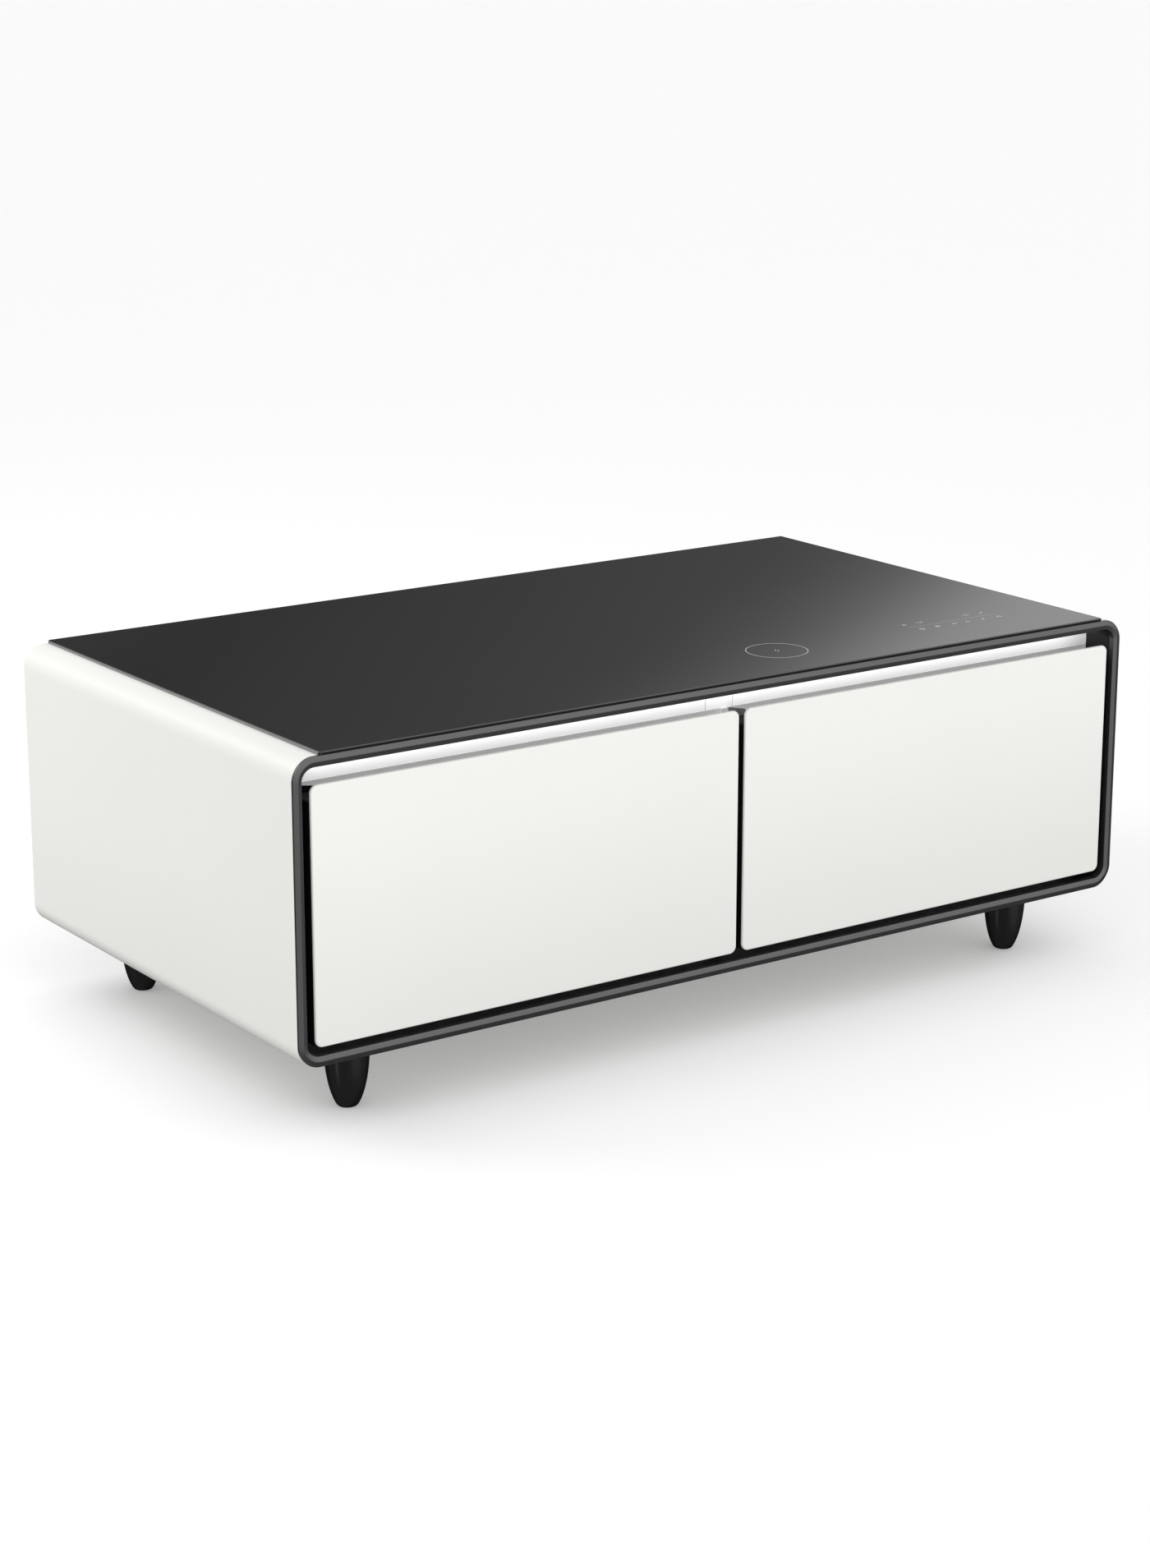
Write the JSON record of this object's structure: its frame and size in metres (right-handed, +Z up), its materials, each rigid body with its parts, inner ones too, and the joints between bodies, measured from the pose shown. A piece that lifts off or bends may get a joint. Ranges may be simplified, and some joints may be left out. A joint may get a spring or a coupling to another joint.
{
  "type": "refrigerator coffee table",
  "caption": "Low coffee table with a rounded white cabinet, dark glass top and cooled drawers that slide out on telescopic runners.",
  "frame": {"origin": "on the floor, under the middle of the table", "axes": "+X to the right along the front, -Y out of the front, +Z up"},
  "size_m": [1.3, 0.7, 0.476],
  "materials": {
    "white_painted_steel": "satin white paint",
    "white_front": "smooth white lacquer",
    "white_gloss_plastic": "glossy white",
    "black_trim": "satin black",
    "black_plastic": "matt black",
    "leg_black": "satin black",
    "dark_glass": "polished, dark and opaque from below",
    "gasket_rubber": "soft matt grey",
    "bin_plastic": "smooth pale moulding",
    "zinc_steel": "zinc plated",
    "black_painted_steel": "black powder coat",
    "aluminium_fins": "plain",
    "copper": "plain copper",
    "circuit_board": "green solder mask",
    "insulation": "raw rigid foam"
  },
  "bodies": {
    "cabinet": {"outer_shell": "white_painted_steel", "front_trim": "black_trim", "front_bezel": "black_plastic", "glass_top": "dark_glass", "top_deck": "black_plastic", "touch_board": "circuit_board", "charging_coil": "copper", "recess_strip_left": "white_gloss_plastic", "recess_strip_centre": "white_gloss_plastic", "recess_strip_right": "white_gloss_plastic", "insulation_foam": "insulation", "rear_panel": "black_painted_steel", "power_inlet": "black_plastic", "machine_tray": "zinc_steel", "compressor": "black_painted_steel", "condenser": "aluminium_fins", "condenser_fan_frame": "black_plastic", "suction_pipe": "copper", "discharge_pipe": "copper", "control_box": "black_plastic", "liner_left": "white_gloss_plastic", "evaporator_left": "aluminium_fins", "air_cover_left": "white_gloss_plastic", "runner_cabinet_left_a": "zinc_steel", "runner_cabinet_left_b": "zinc_steel", "liner_right": "white_gloss_plastic", "evaporator_right": "aluminium_fins", "air_cover_right": "white_gloss_plastic", "runner_cabinet_right_a": "zinc_steel", "runner_cabinet_right_b": "zinc_steel", "leg_front_left": "leg_black", "leg_plate_front_left": "zinc_steel", "leg_front_right": "leg_black", "leg_plate_front_right": "zinc_steel", "leg_rear_left": "leg_black", "leg_plate_rear_left": "zinc_steel", "leg_rear_right": "leg_black", "leg_plate_rear_right": "zinc_steel"},
    "condenser_fan": {"condenser_fan": "black_plastic"},
    "drawer_left": {"drawer_front_left": "white_front", "door_core_left": "black_plastic", "door_gasket_left": "gasket_rubber", "drawer_bin_left": "bin_plastic", "runner_drawer_left_a": "zinc_steel", "runner_drawer_left_b": "zinc_steel"},
    "runner_middle_left": {"runner_middle_left_a": "zinc_steel", "runner_middle_left_b": "zinc_steel"},
    "air_fan_left": {"air_fan_left": "black_plastic"},
    "drawer_right": {"drawer_front_right": "white_front", "door_core_right": "black_plastic", "door_gasket_right": "gasket_rubber", "drawer_bin_right": "bin_plastic", "runner_drawer_right_a": "zinc_steel", "runner_drawer_right_b": "zinc_steel"},
    "runner_middle_right": {"runner_middle_right_a": "zinc_steel", "runner_middle_right_b": "zinc_steel"},
    "air_fan_right": {"air_fan_right": "black_plastic"}
  },
  "joints": [
    {"name": "drawer_left_slide", "type": "slide", "parent": "cabinet", "child": "drawer_left", "axis": [0, -1, 0], "range_m": [0, 0.36]},
    {"name": "runner_middle_left_slide", "type": "slide", "parent": "cabinet", "child": "runner_middle_left", "axis": [0, -1, 0], "range_m": [0, 0.18]},
    {"name": "drawer_right_slide", "type": "slide", "parent": "cabinet", "child": "drawer_right", "axis": [0, -1, 0], "range_m": [0, 0.36]},
    {"name": "runner_middle_right_slide", "type": "slide", "parent": "cabinet", "child": "runner_middle_right", "axis": [0, -1, 0], "range_m": [0, 0.18]},
    {"name": "air_fan_left_spin", "type": "hinge", "parent": "cabinet", "child": "air_fan_left", "pos_m": [-0.204, 0.089, 0.289], "axis": [0, 1, 0], "continuous": true},
    {"name": "air_fan_right_spin", "type": "hinge", "parent": "cabinet", "child": "air_fan_right", "pos_m": [0.424, 0.089, 0.289], "axis": [0, 1, 0], "continuous": true},
    {"name": "condenser_fan_spin", "type": "hinge", "parent": "cabinet", "child": "condenser_fan", "pos_m": [0.071, 0.25765, 0.1628], "axis": [1, 0, 0], "continuous": true}
  ],
  "couplings": [
    {"joint": "runner_middle_left_slide", "follows": "drawer_left_slide", "ratio": 0.5},
    {"joint": "runner_middle_right_slide", "follows": "drawer_right_slide", "ratio": 0.5}
  ]
}
